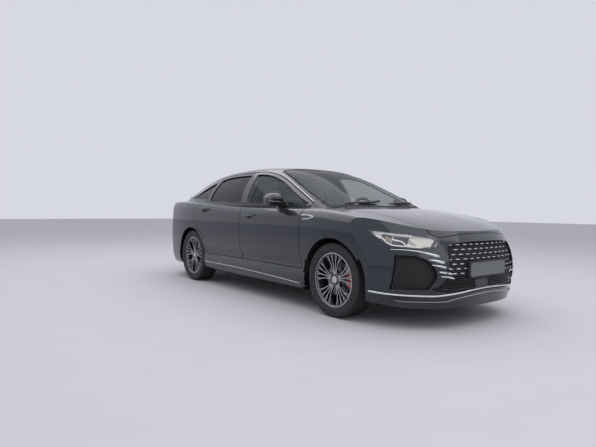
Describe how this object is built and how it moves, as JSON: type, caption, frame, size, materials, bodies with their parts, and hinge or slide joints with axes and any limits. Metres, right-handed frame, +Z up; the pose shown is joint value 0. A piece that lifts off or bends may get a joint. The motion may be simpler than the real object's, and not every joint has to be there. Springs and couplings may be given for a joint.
{
  "type": "four-door sedan car",
  "caption": "Four-door fastback sedan with opening doors, hood and trunk lid, steered front wheels and rolling wheels.",
  "frame": {"origin": "on the floor, midway between the nose and the tail and between the two sides", "axes": "+X forward to the nose, +Y to the car's left, +Z up"},
  "size_m": [4.7849, 2.128, 1.456],
  "materials": {
    "paint": "metallic clear coat",
    "black_plastic": "matte",
    "gloss_black": "gloss",
    "lamp_clear": "clear",
    "lamp_red": "gloss",
    "glass_clear": "clear",
    "glass_tinted": "tinted",
    "steel_dark": "satin",
    "exhaust_steel": "satin",
    "caliper_red": "gloss",
    "alloy": "machined",
    "tyre": "matte",
    "interior_dark": "soft",
    "seat_leather": "soft",
    "steering_leather": "soft"
  },
  "bodies": {
    "root": {"side_frame_left": "paint", "side_frame_right": "paint", "roof_panel": "paint", "front_fenders": "paint", "front_bumper": "paint", "rear_bumper": "paint", "cowl_panel": "black_plastic", "wheel_liners": "black_plastic", "grille": "gloss_black", "headlamps": "lamp_clear", "tail_lamps": "lamp_red", "windshield": "glass_clear", "rear_window": "glass_clear", "quarter_windows": "glass_tinted", "floor_pan": "steel_dark", "front_rails": "steel_dark", "front_subframe": "steel_dark", "rear_axle": "steel_dark", "fuel_tank": "steel_dark", "engine_block": "steel_dark", "door_hinges": "steel_dark", "exhaust": "exhaust_steel", "dashboard": "interior_dark", "front_seats": "seat_leather", "rear_seat": "seat_leather"},
    "door_front_left": {"door_front_left": "paint", "window_front_left": "glass_clear", "mirror_left": "gloss_black"},
    "door_front_right": {"door_front_right": "paint", "window_front_right": "glass_clear", "mirror_right": "gloss_black"},
    "door_rear_left": {"door_rear_left": "paint", "window_rear_left": "glass_tinted"},
    "door_rear_right": {"door_rear_right": "paint", "window_rear_right": "glass_tinted"},
    "hood": {"hood": "paint"},
    "trunk_lid": {"trunk_lid": "paint", "lid_lamp": "lamp_red"},
    "knuckle_left": {"knuckle_left": "steel_dark", "caliper_left": "caliper_red"},
    "knuckle_right": {"knuckle_right": "steel_dark", "caliper_right": "caliper_red"},
    "wheel_front_left": {"wheel_front_left": "alloy", "tyre_front_left": "tyre"},
    "wheel_front_right": {"wheel_front_right": "alloy", "tyre_front_right": "tyre"},
    "wheel_rear_left": {"wheel_rear_left": "alloy", "tyre_rear_left": "tyre"},
    "wheel_rear_right": {"wheel_rear_right": "alloy", "tyre_rear_right": "tyre"},
    "steering_wheel": {"steering_wheel": "steering_leather"}
  },
  "joints": [
    {"name": "door_front_left_swing", "type": "hinge", "parent": "root", "child": "door_front_left", "pos_m": [0.925, 0.886, 0.655], "axis": [0, 0, -1], "range_deg": [0, 70]},
    {"name": "door_rear_left_swing", "type": "hinge", "parent": "root", "child": "door_rear_left", "pos_m": [-0.171, 0.886, 0.655], "axis": [0, 0, -1], "range_deg": [0, 68]},
    {"name": "door_front_right_swing", "type": "hinge", "parent": "root", "child": "door_front_right", "pos_m": [0.925, -0.886, 0.655], "axis": [0, 0, 1], "range_deg": [0, 70]},
    {"name": "door_rear_right_swing", "type": "hinge", "parent": "root", "child": "door_rear_right", "pos_m": [-0.171, -0.886, 0.655], "axis": [0, 0, 1], "range_deg": [0, 68]},
    {"name": "hood_lift", "type": "hinge", "parent": "root", "child": "hood", "pos_m": [1.199, 0, 0.95108], "axis": [0, -1, 0], "range_deg": [0, 50]},
    {"name": "trunk_lid_lift", "type": "hinge", "parent": "root", "child": "trunk_lid", "pos_m": [-1.9365, 0, 1.11986], "axis": [0, 1, 0], "range_deg": [0, 75]},
    {"name": "steer_front_left", "type": "hinge", "parent": "root", "child": "knuckle_left", "pos_m": [1.4385, 0.7525, 0.33], "axis": [0, 0, 1], "range_deg": [-35, 35]},
    {"name": "steer_front_right", "type": "hinge", "parent": "root", "child": "knuckle_right", "pos_m": [1.4385, -0.7525, 0.33], "axis": [0, 0, 1], "range_deg": [-35, 35]},
    {"name": "steering_wheel_turn", "type": "hinge", "parent": "root", "child": "steering_wheel", "pos_m": [0.48, 0.37, 0.915], "axis": [-0.9063, 0, 0.4226], "range_deg": [-490, 490]},
    {"name": "wheel_front_left_spin", "type": "hinge", "parent": "knuckle_left", "child": "wheel_front_left", "pos_m": [1.4385, 0.7925, 0.33], "axis": [0, 1, 0], "continuous": true},
    {"name": "wheel_front_right_spin", "type": "hinge", "parent": "knuckle_right", "child": "wheel_front_right", "pos_m": [1.4385, -0.7925, 0.33], "axis": [0, 1, 0], "continuous": true},
    {"name": "wheel_rear_left_spin", "type": "hinge", "parent": "root", "child": "wheel_rear_left", "pos_m": [-1.3315, 0.7925, 0.33], "axis": [0, 1, 0], "continuous": true},
    {"name": "wheel_rear_right_spin", "type": "hinge", "parent": "root", "child": "wheel_rear_right", "pos_m": [-1.3315, -0.7925, 0.33], "axis": [0, 1, 0], "continuous": true}
  ],
  "couplings": [
    {"joint": "steer_front_right", "follows": "steer_front_left", "ratio": 1},
    {"joint": "steering_wheel_turn", "follows": "steer_front_left", "ratio": 14}
  ]
}
